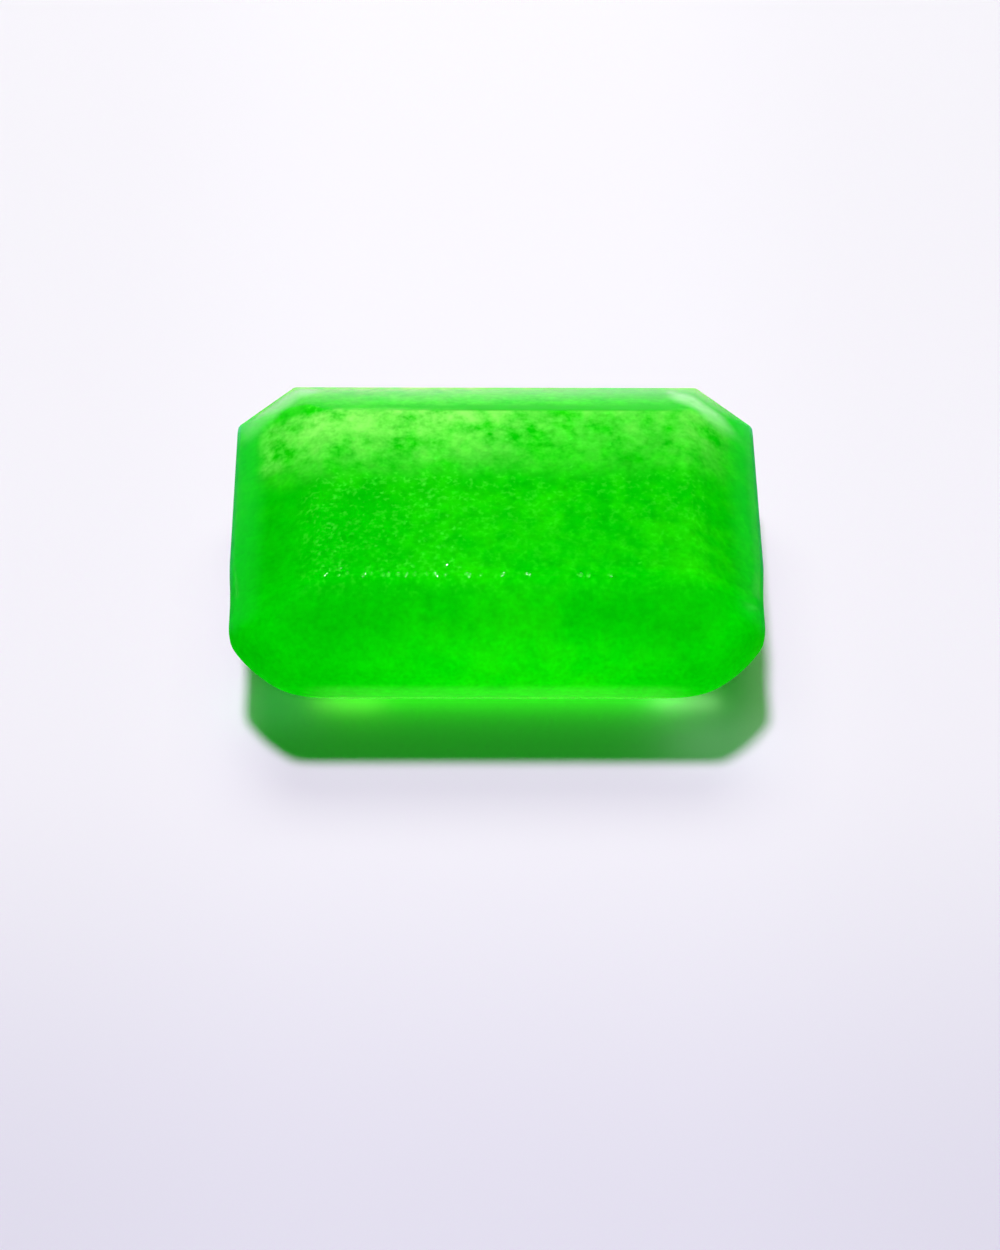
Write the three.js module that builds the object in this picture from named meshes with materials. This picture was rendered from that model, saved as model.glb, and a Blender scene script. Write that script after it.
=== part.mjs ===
// A cut and polished stone of translucent green jade: an oblong step cut with trimmed corners.
// It has a flat table, a crown of four long facets and four corner facets, an upright girdle,
// a pavilion in two steps, and a flat base to stand on.
// Millimetres, +Z up. The origin is the middle of the base. X runs along the stone, -Y is its front.

import * as THREE from "three";
import { ConvexGeometry } from "three/addons/geometries/ConvexGeometry.js";

// Outline at the girdle
const stoneLength = 14;
const stoneWidth = 10;
const girdleCornerCut = 1.49;

// Heights, from the base up
const lowerStepHeight = 1.15;
const upperStepHeight = 1.15;
const girdleHeight = 0.92;
const crownHeight = 1.33;

// Table, cut a little towards the right-hand end
const tableLength = 9.65;
const tableWidth = 5.72;
const tableShift = 0.25;

// How far each crown corner facet reaches up its corner, from 0 at the girdle to 1 at the table
const backLeftReach = 0.8;
const backRightReach = 0.94;
const frontLeftReach = 0.5;
const frontRightReach = 0.46;

// Pavilion facets: slope from the horizontal, and the corner cut that is left below each step
const upperStepSlope = THREE.MathUtils.degToRad(57);
const lowerStepSlope = THREE.MathUtils.degToRad(37);
const stepCornerCut = 1.3;
const baseCornerCut = 1.0;

const stepZ = lowerStepHeight;
const girdleBottomZ = stepZ + upperStepHeight;
const girdleTopZ = girdleBottomZ + girdleHeight;
const tableZ = girdleTopZ + crownHeight;

// An oblong ring at one height, inset from the girdle's outline, with its four corners cut off.
function cutCornerRing(inset, cornerCut, z) {
  const x = stoneLength / 2 - inset;
  const y = stoneWidth / 2 - inset;
  const ring = [];
  for (const [sideX, sideY] of [[1, 1], [-1, 1], [-1, -1], [1, -1]]) {
    ring.push(new THREE.Vector3(sideX * (x - cornerCut), sideY * y, z));
    ring.push(new THREE.Vector3(sideX * x, sideY * (y - cornerCut), z));
  }
  return ring;
}

// One corner of the table, and the point below it where the corner facet ends. That point lies
// on the ridge between two long facets, which runs from the table down to the uncut corner.
function crownCorner(sideX, sideY, reach) {
  const tableCorner = new THREE.Vector3(
    tableShift + (sideX * tableLength) / 2,
    (sideY * tableWidth) / 2,
    tableZ,
  );
  const uncutCorner = new THREE.Vector3(
    (sideX * stoneLength) / 2,
    (sideY * stoneWidth) / 2,
    girdleTopZ,
  );
  return [tableCorner, uncutCorner.lerp(tableCorner, reach)];
}

function crownPoints() {
  return [
    ...crownCorner(-1, 1, backLeftReach),
    ...crownCorner(1, 1, backRightReach),
    ...crownCorner(-1, -1, frontLeftReach),
    ...crownCorner(1, -1, frontRightReach),
  ];
}

function girdlePoints() {
  return [
    ...cutCornerRing(0, girdleCornerCut, girdleTopZ),
    ...cutCornerRing(0, girdleCornerCut, girdleBottomZ),
  ];
}

function pavilionPoints() {
  const stepInset = upperStepHeight / Math.tan(upperStepSlope);
  const baseInset = stepInset + lowerStepHeight / Math.tan(lowerStepSlope);
  return [
    ...cutCornerRing(stepInset, stepCornerCut, stepZ),
    ...cutCornerRing(baseInset, baseCornerCut, 0),
  ];
}

// Every facet of the cut is flat and the stone is convex, so its corner points give all its facets.
const jadeStone = new THREE.Mesh(
  new ConvexGeometry([...crownPoints(), ...girdlePoints(), ...pavilionPoints()]),
  new THREE.MeshStandardMaterial({ color: 0x0fc81e, roughness: 0.15, metalness: 0 }),
);
jadeStone.name = "jade_stone";

const jade = new THREE.Group();
jade.add(jadeStone);

export default jade;
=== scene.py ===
import math
import random

import bmesh
import bpy
from mathutils import Matrix, Vector, kdtree, noise


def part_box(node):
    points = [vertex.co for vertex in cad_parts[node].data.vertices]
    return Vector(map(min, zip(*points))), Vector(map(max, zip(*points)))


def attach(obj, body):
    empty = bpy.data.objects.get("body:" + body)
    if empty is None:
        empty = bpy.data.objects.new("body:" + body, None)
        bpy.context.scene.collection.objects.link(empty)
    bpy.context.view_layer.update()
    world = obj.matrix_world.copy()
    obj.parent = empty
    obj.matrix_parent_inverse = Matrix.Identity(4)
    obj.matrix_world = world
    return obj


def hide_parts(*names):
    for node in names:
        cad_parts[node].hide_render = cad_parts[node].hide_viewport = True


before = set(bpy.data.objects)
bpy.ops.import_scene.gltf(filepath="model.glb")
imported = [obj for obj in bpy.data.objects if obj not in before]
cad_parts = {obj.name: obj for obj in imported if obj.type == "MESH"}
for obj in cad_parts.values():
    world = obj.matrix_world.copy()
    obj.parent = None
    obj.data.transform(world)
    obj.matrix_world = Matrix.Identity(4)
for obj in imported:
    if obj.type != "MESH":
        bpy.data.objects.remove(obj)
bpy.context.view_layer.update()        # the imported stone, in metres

mm = 0.001
stoneLow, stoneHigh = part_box("jade_stone")
tableHeight = stoneHigh[2]
girdleTop = 3.22 * mm
girdleBottom = 2.30 * mm
tableShift = 0.25 * mm
halfTableLength = 4.825 * mm
halfTableWidth = 2.86 * mm


def linearColour(red, green, blue):        # a screen colour, 0 to 255, as amounts of light
    levels = [level / 255 for level in (red, green, blue)]
    return tuple(v / 12.92 if v <= 0.04045 else ((v + 0.055) / 1.055) ** 2.4 for v in levels) + (1,)


def blend(start, end, share):
    return start + (end - start) * share


def fadeBetween(value, low, high):        # 0 at low, 1 at high, smooth in between
    share = min(max((value - low) / (high - low), 0), 1)
    return share * share * (3 - 2 * share)


# Camera

cameraFacts = {
    "elevation": 48.81,
    "distance": 84.08 * mm,     # from the middle of the girdle's upper outline
    "lens": 91.62,
    "aimBelow": 1.818,          # degrees that the camera points below that middle
    "aimRight": 0.093,          # and to its right
    "turn": 1.147,
    "roll": 0.948,
    "nearest": 1 * mm,
    "furthest": 20,
}


def makeCamera(facts):
    elevation = math.radians(facts["elevation"])
    back = Vector((0, -math.cos(elevation), math.sin(elevation)))
    right = Vector((1, 0, 0))
    look = Matrix((right, back.cross(right), back)).transposed().to_4x4()
    look = look @ Matrix.Rotation(math.radians(-facts["aimBelow"]), 4, "X")
    look = look @ Matrix.Rotation(math.radians(-facts["aimRight"]), 4, "Y")
    look = look @ Matrix.Rotation(math.radians(facts["roll"]), 4, "Z")
    turn = Matrix.Rotation(math.radians(-facts["turn"]), 4, "Z")
    middle = Matrix.Translation(Vector((0, 0, girdleTop)))
    data = bpy.data.cameras.new("camera")
    data.lens = facts["lens"]
    data.clip_start = facts["nearest"]
    data.clip_end = facts["furthest"]
    camera = bpy.data.objects.new("camera", data)
    camera.matrix_world = middle @ turn @ Matrix.Translation(back * facts["distance"]) @ look
    bpy.context.scene.collection.objects.link(camera)
    bpy.context.scene.camera = camera


makeCamera(cameraFacts)
print("camera placed")


# Node helper: a wire wraps one socket, and adds Math nodes as it is used in sums

class Wire:
    def __init__(self, tree, socket):
        self.tree = tree
        self.socket = socket

    def node(self, kind, settings=None, inputs=None, output=0):
        return addNode(self.tree, kind, settings, inputs, output)

    def maths(self, operation, first, second):
        return self.node("ShaderNodeMath", {"operation": operation}, {0: first, 1: second})

    def __add__(self, other):
        return self.maths("ADD", self, other)

    def __radd__(self, other):
        return self.maths("ADD", other, self)

    def __sub__(self, other):
        return self.maths("SUBTRACT", self, other)

    def __rsub__(self, other):
        return self.maths("SUBTRACT", other, self)

    def __mul__(self, other):
        return self.maths("MULTIPLY", self, other)

    def __rmul__(self, other):
        return self.maths("MULTIPLY", other, self)

    def highest(self, other):
        return self.maths("MAXIMUM", self, other)

    def lowest(self, other):
        return self.maths("MINIMUM", self, other)

    def size(self):
        return self.maths("ABSOLUTE", self, 0)

    def fade(self, low, high, start=0, end=1):
        return self.node(
            "ShaderNodeMapRange",
            {"interpolation_type": "SMOOTHSTEP", "clamp": True},
            {"Value": self, "From Min": low, "From Max": high, "To Min": start, "To Max": end},
        )


def addNode(tree, kind, settings=None, inputs=None, output=0):
    node = tree.nodes.new(kind)
    for name, value in (settings or {}).items():
        setattr(node, name, value)
    for name, value in (inputs or {}).items():
        if isinstance(value, Wire):
            tree.links.new(value.socket, node.inputs[name])
        else:
            node.inputs[name].default_value = value
    return Wire(tree, node.outputs[output])


def mixColour(tree, share, first, second, kind="MIX"):
    return addNode(
        tree, "ShaderNodeMix",
        {"data_type": "RGBA", "blend_type": kind, "clamp_factor": True},
        {0: share, 6: first, 7: second}, output=2,
    )


def grey(tree, level):
    return addNode(tree, "ShaderNodeCombineColor", None, {0: level, 1: level, 2: level})


def splitPlace(tree, place):
    return [addNode(tree, "ShaderNodeSeparateXYZ", None, {0: place}, output=axis) for axis in range(3)]


def newMaterial(name):
    material = bpy.data.materials.new(name)
    material.use_nodes = True
    tree = material.node_tree
    return material, tree, tree.nodes["Principled BSDF"]


def connect(tree, wire, shader, name):
    tree.links.new(wire.socket, shader.inputs[name])


# Studio: a pale floor, a small lamp overhead that draws the stone's coloured shadow,
# and a soft lamp behind that draws the wide pale one

studioFacts = {
    "floorReach": 3,
    "floorColour": linearColour(243, 243, 247),
    "floorFrontShade": linearColour(229, 228, 239),
    "floorTurns": (-20 * mm, -4 * mm),          # painted shade: where the front's darker, bluer colour gives way to the other
    "floorShadeBack": (-4 * mm, 22 * mm, 1, 0.96),   # and where the floor is painted dimmer, as shade, to the back and the sides
    "floorShadeSides": (4 * mm, 12 * mm, 1, 0.97),
    "besideStart": (5 * mm, 6.4 * mm),          # a strip of floor at the stone's ends painted brighter: painted light that lifts the shade the lamps leave there
    "besideStop": (8.6 * mm, 6.8 * mm),
    "besideFront": (-8 * mm, -5 * mm),
    "besideBack": (4 * mm, 0),
    "besideLightGain": (-1 * mm, 1 * mm, 0.06, 0.03),
    "keyStrength": 2.68,
    "keyColour": (0.985, 0.945, 1.045),
    "keySpread": 8.5,
    "keyBack": 10.7,            # degrees that the key leans from upright, to the back and the left
    "keyLeft": 6.4,
    "passedGreen": 0.30,        # share of the key's green that the stone lets through
    "softPlace": Vector((-2, 42, 68)) * mm,
    "softWidth": 66 * mm,
    "softDepth": 34 * mm,
    "softPower": 0.0196,
    "softColour": (0.97, 1.0, 0.80),
    "skyLow": linearColour(236, 234, 244),
    "skyHigh": (0.004, 0.004, 0.0045, 1),
    "skyTurns": (0.02, 0.12),
    "frontPlace": Vector((4, -52, 40)) * mm,      # a pale card in front that lights the stone alone
    "frontSize": 30 * mm,
    "frontPower": 0.010,
    "frontColour": (1, 1, 0.94),
    "glows": {                  # light that has crossed the stone: place, length, width, power, colour
        "foot": ((0.2, -3.1, 0.75), 9.4, 0.3, 0.000040, (0.030, 1.0, 0.002)),
        "foot_left": ((-3.95, -3.5, 0.45), 1.8, 0.2, 0.0000012, (0.30, 1.0, 0.10)),
        "foot_right": ((5.0, -3.45, 0.40), 1.7, 0.2, 0.0000015, (0.45, 1.0, 0.35)),
        "end_left": ((-5.9, -3.5, 0.9), 2.2, 1.4, 0.0000020, (0.18, 1.0, 0.28)),
        "end_right": ((6.0, -4.9, 1.2), 2.6, 1.4, 0.0000030, (0.75, 1.0, 0.80)),
    },
    "edgeGlowPlace": Vector((0.2, -5.4, 0.12)) * mm,      # and light thrown back up on its lower edge
    "edgeGlowLength": 10 * mm,
    "edgeGlowWidth": 0.8 * mm,
    "edgeGlowTilt": 165,
    "edgeGlowPower": 0.000055,
    "edgeGlowColour": (0.05, 1.0, 0.02),
}


def aimedFrom(place):
    return Matrix.Translation(place) @ place.to_track_quat("Z", "Y").to_matrix().to_4x4()


def addLamp(name, kind, settings, place):
    data = bpy.data.lights.new(name, kind)
    for key, value in settings.items():
        setattr(data, key, value)
    lamp = bpy.data.objects.new(name, data)
    lamp.matrix_world = place
    bpy.context.scene.collection.objects.link(lamp)
    return lamp


def makeFloor(facts):
    mesh = bpy.data.meshes.new("floor")
    form = bmesh.new()
    bmesh.ops.create_grid(form, x_segments=1, y_segments=1, size=facts["floorReach"])
    form.to_mesh(mesh)
    form.free()
    floor = bpy.data.objects.new("floor", mesh)
    bpy.context.scene.collection.objects.link(floor)
    material, tree, shader = newMaterial("palePaper")
    x, y, z = splitPlace(tree, addNode(tree, "ShaderNodeTexCoord", output=3))
    # painted shade: the floor is painted darker and bluer to the front, and dimmer to the back and the
    # sides
    colour = mixColour(tree, y.fade(*facts["floorTurns"]), facts["floorFrontShade"], facts["floorColour"])
    level = y.fade(*facts["floorShadeBack"]) * x.size().fade(*facts["floorShadeSides"])
    # painted light: the floor beside the stone's ends is painted brighter, more on the left
    beside = x.size().fade(*facts["besideStart"]) * x.size().fade(*facts["besideStop"])
    beside = beside * y.fade(*facts["besideFront"]) * y.fade(*facts["besideBack"])
    level = level * (1 + beside * x.fade(*facts["besideLightGain"]))
    connect(tree, mixColour(tree, 1, colour, grey(tree, level), "MULTIPLY"), shader, "Base Color")
    shader.inputs["Roughness"].default_value = 0.9
    shader.inputs["Specular IOR Level"].default_value = 0
    mesh.materials.append(material)
    return floor


def makeSky(facts):
    world = bpy.data.worlds.new("studio")
    bpy.context.scene.world = world
    world.use_nodes = True
    tree = world.node_tree
    direction = addNode(tree, "ShaderNodeTexCoord", output=0)
    height = splitPlace(tree, direction)[2]
    colour = mixColour(tree, height.fade(*facts["skyTurns"]), facts["skyLow"], facts["skyHigh"])
    tree.links.new(colour.socket, tree.nodes["Background"].inputs["Color"])


def makeLamps(facts, floor):
    lean = Vector((
        -math.tan(math.radians(facts["keyLeft"])),
        math.tan(math.radians(facts["keyBack"])),
        1,
    ))
    turn = lean.to_track_quat("Z", "Y").to_matrix().to_4x4()
    red, green, blue = facts["keyColour"]
    passed = facts["passedGreen"]
    shared = {"energy": facts["keyStrength"], "angle": math.radians(facts["keySpread"])}
    addLamp("key", "SUN", {**shared, "color": (red, green * (1 - passed), blue)}, turn)
    through = addLamp("key_through_stone", "SUN", {**shared, "color": (0, green * passed, 0)}, turn)
    onlyFloor = bpy.data.collections.new("only_floor_blocks")
    onlyFloor.objects.link(floor)
    through.light_linking.blocker_collection = onlyFloor
    soft = addLamp(
        "soft", "AREA",
        {
            "shape": "ELLIPSE", "size": facts["softWidth"], "size_y": facts["softDepth"],
            "energy": facts["softPower"], "color": facts["softColour"],
        },
        aimedFrom(facts["softPlace"]),
    )
    soft.visible_glossy = False
    for name, (place, length, width, power, colour) in facts["glows"].items():
        glow = addLamp(
            name, "AREA",
            {
                "shape": "RECTANGLE", "size": length * mm, "size_y": width * mm,
                "energy": power, "color": colour,
            },
            Matrix.Translation(Vector(place) * mm),
        )
        glow.visible_camera = False
        glow.visible_glossy = False
        glow.light_linking.blocker_collection = onlyFloor
        glow.light_linking.receiver_collection = onlyFloor


def lightStoneFromFront(facts, piece):
    front = addLamp(
        "front_card", "AREA",
        {
            "shape": "DISK", "size": facts["frontSize"],
            "energy": facts["frontPower"], "color": facts["frontColour"],
        },
        aimedFrom(facts["frontPlace"]),
    )
    front.visible_glossy = False
    tilt = Matrix.Rotation(math.radians(facts["edgeGlowTilt"]), 4, "X")
    underEdge = addLamp(
        "glow_under_edge", "AREA",
        {
            "shape": "RECTANGLE", "size": facts["edgeGlowLength"], "size_y": facts["edgeGlowWidth"],
            "energy": facts["edgeGlowPower"], "color": facts["edgeGlowColour"],
        },
        Matrix.Translation(facts["edgeGlowPlace"]) @ tilt,
    )
    underEdge.visible_camera = False
    underEdge.visible_glossy = False
    onlyStone = bpy.data.collections.new("only_stone_receives")
    onlyStone.objects.link(piece)
    front.light_linking.receiver_collection = onlyStone
    underEdge.light_linking.receiver_collection = onlyStone


paleFloor = makeFloor(studioFacts)
makeSky(studioFacts)
makeLamps(studioFacts, paleFloor)
bpy.context.scene.view_settings.view_transform = "Standard"
print("studio lit")


# The stone's shape: the imported solid's facets, cut into a fine even mesh and polished

shapeFacts = {
    "weld": 0.001 * mm,
    "cell": 0.07 * mm,
    "roundings": 5,
    "cornerRoundings": 45,                    # the front edge and its two corners are worn round
    "cornerStarts": (8.2 * mm, 9.6 * mm),     # along |x| - y, where that wear starts and is full
    "frontStarts": (4.1 * mm, 4.6 * mm),      # and along -y
    "cornerOuter": (9.0 * mm, 10.4 * mm),     # along |x| - y, where the corners are also fuller
    "cornerMiddle": 2.0 * mm,                 # along |x| + y, the middle of a corner, and its reach
    "cornerReach": 1.49 * mm,
    "cornerFull": 0.15 * mm,                  # how far a corner stands out past its straight cut
    "tableNormal": 0.97,                      # a point whose normal is more upright is on the table
    "bulge": 0.05 * mm,                       # how far a crown facet stands proud in its middle
    "endStep": 0.06 * mm,                     # the end facets break into a steep and a flatter strip
    "endStepRise": 0.27,
    "endStepFront": (-3.0 * mm, -1.5 * mm),
    "relief": 0.0016 * mm,
    "reliefWidth": 0.30 * mm,
}

wearFacts = {
    "seed": 7,
    "fineMargin": 0.3 * mm,     # the mesh is finer by this much around the patch
    "chipBand": 0.2 * mm,
    "chipEnd": 5.0 * mm,
    "pitCount": 230,            # small pits in the matt patch at the front left of the table
    "pitLow": (-4.95 * mm, -2.75 * mm),
    "pitHigh": (-0.9 * mm, 0.50 * mm),
    "pitCrowding": (2.2, 1.5),      # above 1, more of them lie to the left and the front
    "pitRadius": (0.04 * mm, 0.09 * mm),
    "pitDepth": 0.014 * mm,
    "pitMark": 0.45,                # a painted highlight on the floor, and painted shade in a dark dent beside it
    "besideMark": -0.4,
    "besideStep": 1.3,
    "looseCount": 26,           # the same pits, few and far between, over the whole table
    "looseShare": 0.9,
    "chipDepth": 0.02 * mm,     # chips along the table's front edge
    "chipDents": 2,
    "chipMark": (0.25, 0.85),
    "chipRadius": (0.035, 0.07),        # millimetres, as the chips' places from left to right and widths
    "chipAside": (-0.05, 0.03),
    "chips": (
        (-4.92, 0.20), (-4.72, 0.16), (-4.35, 0.22), (-4.02, 0.14), (-3.80, 0.18), (-3.45, 0.12),
        (-3.22, 0.10), (-2.95, 0.10), (-2.78, 0.18), (-2.58, 0.12), (-2.38, 0.20), (-2.12, 0.08),
        (-1.86, 0.20), (-1.55, 0.18), (-1.38, 0.16), (-0.78, 0.12), (-0.38, 0.14), (0.10, 0.14),
        (0.76, 0.12), (2.05, 0.10), (2.30, 0.12), (2.85, 0.10),
    ),
}


def sliceAlong(form, axis, low, high, step):
    count = int((high - low) / step)
    normal = Vector((0, 0, 0))
    normal[axis] = 1
    for index in range(1, count):
        point = normal * (low + (high - low) * index / count)
        bmesh.ops.bisect_plane(
            form, geom=form.verts[:] + form.edges[:] + form.faces[:],
            dist=shapeFacts["weld"], plane_co=point, plane_no=normal,
        )


def facetedForm(facts):
    form = bmesh.new()
    form.from_mesh(bpy.data.objects["jade_stone"].data)
    bmesh.ops.remove_doubles(form, verts=form.verts, dist=facts["weld"])
    bmesh.ops.dissolve_limit(form, angle_limit=math.radians(1), verts=form.verts, edges=form.edges)
    return form


def smoothed(form, verts, turns):
    for turn in range(turns):
        bmesh.ops.smooth_vert(
            form, verts=verts, factor=0.5, use_axis_x=True, use_axis_y=True, use_axis_z=True,
        )


def refineWornPart(form, facts):
    margin = facts["fineMargin"]
    worn = []
    for face in form.faces:
        x, y, z = face.calc_center_median()
        onTable = face.normal.z > 0.5 and x > facts["pitLow"][0] - margin and y > -halfTableWidth - margin
        inPatch = x < facts["pitHigh"][0] + margin and y < facts["pitHigh"][1]
        alongEdge = x < facts["chipEnd"] and y < -halfTableWidth + facts["chipBand"]
        if onTable and (inPatch or alongEdge):
            worn.append(face)
    edges = {edge for face in worn for edge in face.edges}
    bmesh.ops.subdivide_edges(form, edges=list(edges), cuts=1, use_grid_fill=True)


def pressDent(form, finder, wearAndPaintedLight, place, radius, depth, mark):
    for co, index, distance in finder.find_range(place, radius):
        vert = form.verts[index]
        share = 1 - (distance / radius) ** 2
        vert.co.z -= depth * share
        vert[wearAndPaintedLight] = max(vert[wearAndPaintedLight], mark * share) if mark > 0 else min(vert[wearAndPaintedLight], mark * share)


def wearStoneAndPaintLight(form, facts):
    refineWornPart(form, facts)
    wearAndPaintedLight = form.verts.layers.float.new("wearAndPaintedLight")
    form.verts.ensure_lookup_table()
    finder = kdtree.KDTree(len(form.verts))
    for vert in form.verts:
        finder.insert(vert.co, vert.index)
    finder.balance()
    draw = random.Random(facts["seed"])
    crowdLeft, crowdFront = facts["pitCrowding"]
    for number in range(facts["pitCount"] + facts["looseCount"]):
        if number < facts["pitCount"]:
            x = blend(facts["pitLow"][0], facts["pitHigh"][0], draw.random() ** crowdLeft)
            y = blend(facts["pitLow"][1], facts["pitHigh"][1], draw.random() ** crowdFront)
        else:
            loose = facts["looseShare"]
            x = draw.uniform(-loose, loose) * halfTableLength + tableShift
            y = draw.uniform(-loose, loose) * halfTableWidth
        radius = draw.uniform(*facts["pitRadius"])
        turn = draw.uniform(0, 2 * math.pi)
        place = Vector((x, y, tableHeight))
        beside = place + Vector((math.cos(turn), math.sin(turn), 0)) * radius * facts["besideStep"]
        strength = draw.uniform(0.25, 1)
        depth = facts["pitDepth"] * strength
        pressDent(form, finder, wearAndPaintedLight, place, radius, depth, facts["pitMark"] * strength)
        pressDent(form, finder, wearAndPaintedLight, beside, radius, depth * 0.5, facts["besideMark"])
    # the chips' floors carry painted highlights
    for x, width in facts["chips"]:
        mark = draw.uniform(*facts["chipMark"])
        for dent in range(facts["chipDents"]):
            place = Vector((
                x * mm + draw.uniform(-0.5, 0.5) * width * mm,
                -halfTableWidth + draw.uniform(*facts["chipAside"]) * mm,
                tableHeight,
            ))
            radius = draw.uniform(*facts["chipRadius"]) * mm
            pressDent(form, finder, wearAndPaintedLight, place, radius, facts["chipDepth"], mark)


def cornerShare(place, facts):        # 1 on the front edge and its corners, 0 behind them
    corner = fadeBetween(abs(place.x) - place.y, *facts["cornerStarts"])
    return max(corner, fadeBetween(-place.y, *facts["frontStarts"]))


def wearCorners(form, facts):
    corners = [vert for vert in form.verts if cornerShare(vert.co, facts) > 0]
    starts = [vert.co.copy() for vert in corners]
    smoothed(form, corners, facts["cornerRoundings"])
    for vert, start in zip(corners, starts):
        vert.co = start.lerp(vert.co, cornerShare(start, facts))
        along = (abs(start.x) + start.y - facts["cornerMiddle"]) / facts["cornerReach"]
        outer = fadeBetween(abs(start.x) - start.y, *facts["cornerOuter"])
        outward = Vector((math.copysign(1, start.x), -1, 0)).normalized()
        vert.co += outward * facts["cornerFull"] * max(0, 1 - along * along) * outer


def crownFacets(form, facts):
    for vert in form.verts:
        rise = (vert.co.z - girdleTop) / (tableHeight - girdleTop)
        if 0 < rise < 1 and vert.normal.z < facts["tableNormal"]:
            swell = facts["bulge"] * 4 * rise * (1 - rise)
            onEnd = abs(vert.normal.x) > 0.4 and abs(vert.normal.y) < 0.15
            if onEnd:
                step = facts["endStepRise"]
                share = min(rise / step, (1 - rise) / (1 - step))
                ridge = facts["endStep"] * share * (2 - share)
                swell = blend(swell, ridge, fadeBetween(vert.co.y, *facts["endStepFront"]))
            vert.co += vert.normal * swell


def polishedStone(facts, wearAndPaintedLight):
    form = facetedForm(facts)
    sliceAlong(form, 0, stoneLow[0], stoneHigh[0], facts["cell"])
    sliceAlong(form, 1, stoneLow[1], stoneHigh[1], facts["cell"])
    sliceAlong(form, 2, girdleBottom, girdleTop, 2 * facts["cell"])
    print("sliced:", len(form.faces), "faces")
    smoothed(form, form.verts, facts["roundings"])
    wearCorners(form, facts)
    form.normal_update()
    crownFacets(form, facts)
    form.normal_update()
    for vert in form.verts:
        wave = noise.noise(vert.co / facts["reliefWidth"])
        vert.co += vert.normal * facts["relief"] * (wave - 1)
    wearStoneAndPaintLight(form, wearAndPaintedLight)
    for face in form.faces:
        face.smooth = True
    mesh = bpy.data.meshes.new("polished_jade")
    form.to_mesh(mesh)
    form.free()
    piece = bpy.data.objects.new("polished_jade", mesh)
    bpy.context.scene.collection.objects.link(piece)
    return piece


stone = polishedStone(shapeFacts, wearFacts)
print("stone shaped:", len(stone.data.vertices), "points")
lightStoneFromFront(studioFacts, stone)


# The stone's material

jadeFacts = {
    "deepGreen": (0.0004, 0.52, 0.0006, 1),
    "grassGreen": (0.0100, 0.63, 0.0006, 1),
    "cloudAndGlowGreen": (0.25, 0.94, 0.12, 1),
    "edgeShadeGreen": (0.012, 0.49, 0.008, 1),
    "endSheenGreen": (0.008, 0.52, 0.024, 1),
    "rimShadeGreen": (0.012, 0.26, 0.040, 1),
    "cornerReflectionGreen": (0.30, 0.92, 0.27, 1),
    "chipGlintGreen": (0.10, 1.0, 0.06, 1),
    "pitShadeGreen": (0.0006, 0.42, 0.0006, 1),
    "wideWidth": 2.6,           # millimetres across each kind of mottling
    "cloudWidth": 0.85,
    "patchWidth": 0.75,
    "blobWidth": 0.45,
    "fineWidth": 0.33,
    "speckWidth": 0.14,
    "grainDepth": 0.004 * mm,
    "backCloudAndGlow": 0.9,           # how strongly each tint lies over the green
    "crownCloud": 0.55,
    "lip": 0.11,
    "rim": 0.45,
    "chipGlint": 0.65,
    "pitShade": 0.7,
    "polishedRoughness": 0.14,
    "dullRoughness": 0.30,      # added where the stone is dull
    "indexOfRefraction": 1.66,
    "coatRoughness": 0.10,
    "lightReach": 6 * mm,
}

# Where each tint or finish lies: the direction it changes along, where it starts and where it is
# full, in millimetres, and its strengths there if they aren't 0 and 1. Side is the distance from
# the middle to either end, depth to the front or the back, outward to a back corner, forward to a
# front one, and heel is the height, raised a little along the front edge.

jadeMasks = {
    "warmRight": [("x", -4.2, 0.0, 0.12, 1)],
    "warmBack": [("y", -1.2, 0.8)],
    "front": [("y", -2.6, -3.2)],
    "coolFront": [("x", 1.5, 5.0, 0.5, 0.85)],
    "lightAlong": [("x", -6.8, -0.5, 0.92, 1.06), ("x", 2.0, 4.8, 1.0, 0.94)],
    "lightRight": [("x", 4.8, 6.2)],
    "frontGlowPainted": [("y", -3.8, -4.9, 0, 0.34), ("x", -6, -1, 0.45, 1), ("x", 2.5, 5.5, 1, 0.5)],
    "backCloudAndGlow": [
        ("y", 0.1, 2.7), ("y", 3.1, 2.85, 0.15, 1),
        ("x", -6.5, -4.6), ("x", 6.6, 5.4), ("x", -2.0, 2.5, 1, 0.45),
    ],
    "crownCloud": [("x", -6.45, -6.10), ("x", -4.9, -5.6), ("y", 0.9, 1.6), ("y", 3.2, 2.7)],
    "milk": [("y", -2.4, 1.5, 0.3, 1), ("z", 4.2, 4.4), ("x", -2, 2, 0.14, 0.08)],
    "edgeShade": [("y", 2.80, 2.92), ("y", 3.50, 3.08), ("side", 5.2, 4.4), ("x", -4, 0, 0.4, 1)],
    "backCornerReflection": [
        ("outward", 8.9, 9.5), ("outward", 10.3, 9.8), ("z", 3.0, 3.3),
        ("x", -6, 6, 0.30, 0.60), ("y", 2.4, 3.3), ("y", 4.8, 4.3),
        ("side", 4.5, 5.1), ("side", 6.95, 6.5),
    ],
    "lip": [("y", -3.9, -4.3), ("z", 2.70, 2.28), ("z", 1.1, 1.4), ("side", 5.2, 4.0)],
    "ends": [("side", 5.9, 6.6), ("depth", 3.9, 3.3), ("z", 3.0, 3.2)],
    "endSheenTint": [("y", -3.0, 1.0, 0.28, 0.45)],
    "rim": [("side", 6.84, 6.96), ("z", 2.9, 3.1), ("depth", 3.9, 3.4)],
    "mattPatch": [("x", -0.6, -3.4), ("x", -5.6, -5.0), ("y", -0.1, -0.9), ("y", -3.1, -2.8)],
    "frontEdge": [("y", -3.9, -4.3)],
    "girdle": [("heel", 2.20, 2.36), ("z", 3.46, 3.28)],
    "frontCorners": [("forward", 9.2, 9.9)],
    "backFacet": [("y", 2.80, 2.90)],
    "backFacetTop": [("y", 4.7, 3.0)],
}


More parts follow.
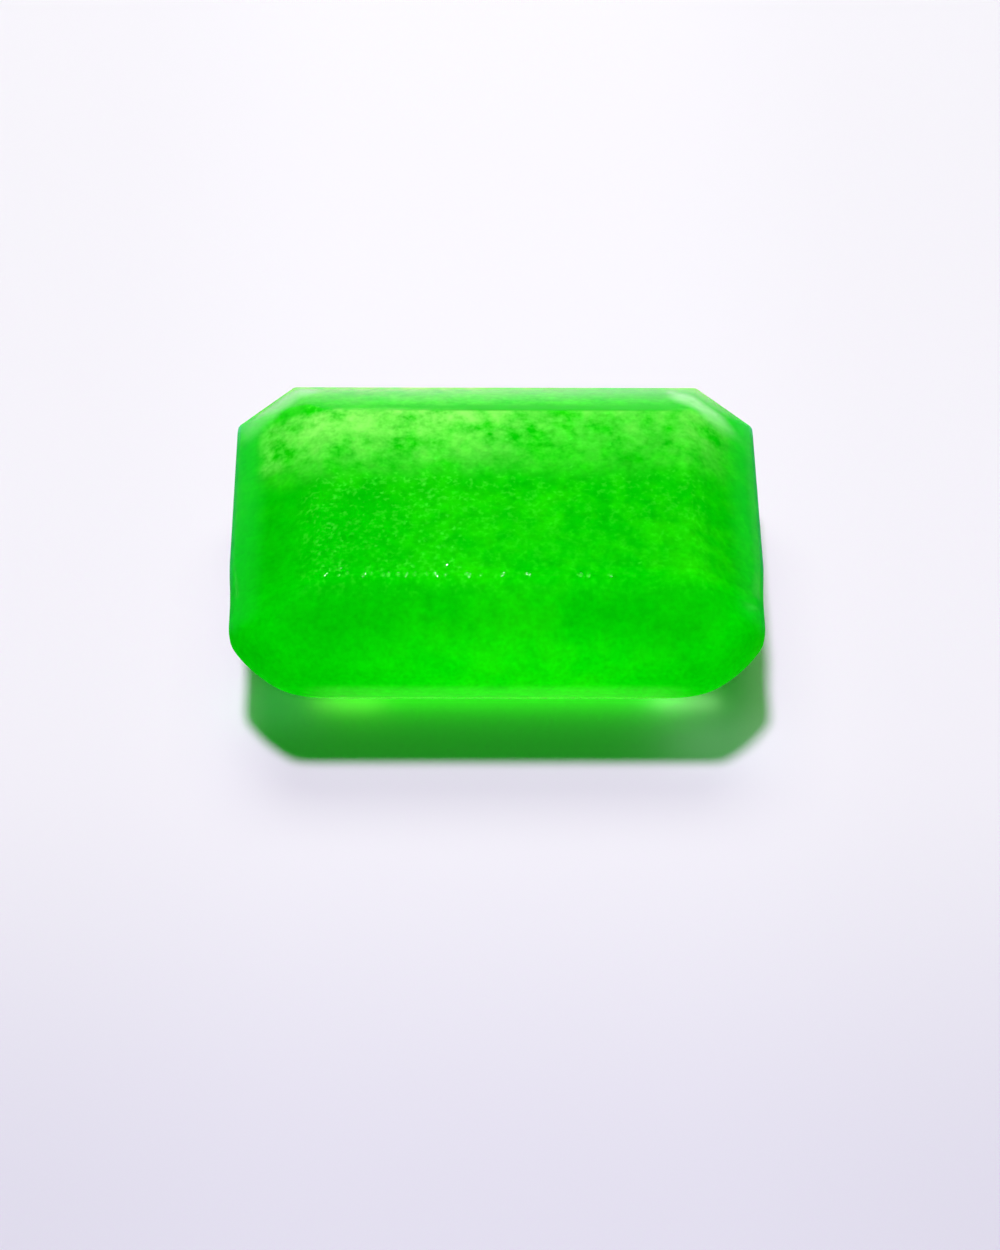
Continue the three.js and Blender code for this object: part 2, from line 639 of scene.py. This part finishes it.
def greenJade(facts):
    material, tree, shader = newMaterial("greenJade")
    place = addNode(tree, "ShaderNodeTexCoord", output=3)
    place = addNode(tree, "ShaderNodeVectorMath", {"operation": "SCALE"}, {0: place, "Scale": 1 / mm})
    x, y, z = splitPlace(tree, place)
    directions = {"x": x, "y": y, "z": z, "side": x.size(), "depth": y.size(), "forward": x.size() - y}
    directions["outward"] = x.size() + y + x.fade(0, 5) * 0.75

    def mask(name):
        fades = [directions[direction].fade(*limits) for direction, *limits in jadeMasks[name]]
        return math.prod(fades[1:], start=fades[0])

    def grain(width, detail=2, roughness=0.5, distortion=0):
        return addNode(
            tree, "ShaderNodeTexNoise", None,
            {
                "Vector": place, "Scale": 1 / width, "Detail": detail,
                "Roughness": roughness, "Distortion": distortion,
            },
        )

    # two greens, mottled at several scales
    patches = grain(facts["patchWidth"], 3, 0.6, 0.2)
    wide = grain(facts["wideWidth"])
    specks = grain(facts["speckWidth"], 1)
    fine = grain(facts["fineWidth"], 2, 0.55)
    clouds = grain(facts["cloudWidth"], 4, 0.62)
    blobs = addNode(
        tree, "ShaderNodeTexVoronoi", {"feature": "SMOOTH_F1"},
        {"Vector": place, "Scale": 1 / facts["blobWidth"], "Smoothness": 0.5},
    )
    warm = (patches * 0.5 + wide * 0.5).fade(0.38, 0.64)
    warm = warm * mask("warmRight").highest(mask("warmBack"))
    frontFacet = mask("front")
    warm = warm * (1 - frontFacet * mask("coolFront"))
    colour = mixColour(tree, warm, facts["deepGreen"], facts["grassGreen"])

    # brighter towards the middle of the front, duller at the ends; painted light: the front facet is
    # painted brighter, most along its lower edge, as a glow of light that has crossed the stone
    level = mask("lightAlong") * (1 + frontFacet * mask("lightRight") * 0.05)
    level = level * (0.65 + patches * 0.16 + fine * 0.28 + specks * 0.28)
    level = level * (1 + mask("frontGlowPainted") + frontFacet * 0.06)
    colour = mixColour(tree, 1, colour, grey(tree, level), "MULTIPLY")

    # pale clouds along the back of the table, partly painted light where light from behind shines through,
    # and on the left crown
    cloud = (mask("backCloudAndGlow") * facts["backCloudAndGlow"]).highest(mask("crownCloud") * facts["crownCloud"])
    texture = clouds.fade(0.30, 0.66, 0.45, 1.2) - blobs * 0.6
    texture = texture + (fine - 0.5) * 0.8 + (specks - 0.5) * 0.6
    milk = mask("milk") * specks.fade(0.50, 0.78)
    colour = mixColour(tree, (cloud * texture).highest(milk), colour, facts["cloudAndGlowGreen"])

    # a dull line just behind the table painted as shade, pale back corners painted as a reflection, a
    # lighter lip painted as a glow, bluish ends painted as a sheen, and a dark rim painted as shade
    # painted shade: a darker line just behind the table's back edge
    colour = mixColour(tree, mask("edgeShade"), colour, facts["edgeShadeGreen"])
    # painted reflection: the back corners are painted pale, as the sheen they catch
    backCornerReflection = mask("backCornerReflection") * clouds.fade(0.30, 0.60, 0.6, 1.1)
    colour = mixColour(tree, backCornerReflection, colour, facts["cornerReflectionGreen"])
    # painted light: the lip along the front's lower edge is painted lighter, as a glow of light that has
    # crossed the stone
    colour = mixColour(tree, mask("lip") * facts["lip"], colour, facts["cloudAndGlowGreen"])
    # painted reflection: the end facets are tinted bluish, as their sheen
    ends = mask("ends")
    colour = mixColour(tree, ends * mask("endSheenTint"), colour, facts["endSheenGreen"])
    # painted shade: a dark line along the ends' outer edge
    colour = mixColour(tree, mask("rim") * facts["rim"], colour, facts["rimShadeGreen"])

    # wear and painted light: positive on the floors of pits and chips, painted as highlights, negative
    # beside them, painted as shade
    wearAndPaintedLight = addNode(tree, "ShaderNodeAttribute", {"attribute_name": "wearAndPaintedLight"}, output=2)
    colour = mixColour(tree, wearAndPaintedLight.highest(0) * facts["chipGlint"], colour, facts["chipGlintGreen"])
    colour = mixColour(tree, (0 - wearAndPaintedLight).highest(0) * facts["pitShade"], colour, facts["pitShadeGreen"])
    connect(tree, colour, shader, "Base Color")

    # dull on the girdle, the worn corners, the matt patch, the table's front edge and the ends
    directions["heel"] = z + mask("frontEdge") * 1.1
    tableEdge = (y + halfTableWidth / mm).size().fade(0.30, 0.16)
    tableEdge = tableEdge * (1 - wearAndPaintedLight.highest(0).lowest(1) * 0.6)
    worn = (wearAndPaintedLight.size() * 1.8).lowest(0.9)
    dull = mask("girdle").highest(mask("mattPatch") * 0.6).highest(worn).highest(mask("frontCorners"))
    dull = dull.highest(tableEdge).highest(ends * 0.85)
    connect(tree, facts["polishedRoughness"] + dull * facts["dullRoughness"], shader, "Roughness")
    backFacet = mask("backFacet")
    shine = (1 - dull) * (1 - backFacet * 0.24) * (1 - mask("backFacetTop") * backFacet * 0.78)
    connect(tree, shine, shader, "Coat Weight")
    bump = addNode(
        tree, "ShaderNodeBump", None,
        {"Strength": 0.5, "Distance": facts["grainDepth"], "Height": specks * (0.3 + dull)},
    )
    connect(tree, bump, shader, "Normal")

    shader.inputs["IOR"].default_value = facts["indexOfRefraction"]
    shader.inputs["Specular IOR Level"].default_value = 0      # the shine is the coat, so wear can dull it
    shader.inputs["Coat IOR"].default_value = facts["indexOfRefraction"]
    shader.inputs["Coat Roughness"].default_value = facts["coatRoughness"]
    shader.inputs["Subsurface Weight"].default_value = 1
    shader.inputs["Subsurface Radius"].default_value = (1, 1, 1)
    shader.inputs["Subsurface Scale"].default_value = facts["lightReach"]
    return material


stone.data.materials.append(greenJade(jadeFacts))
stone.visible_diffuse = False
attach(stone, "root")
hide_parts("jade_stone")
print("stone finished")
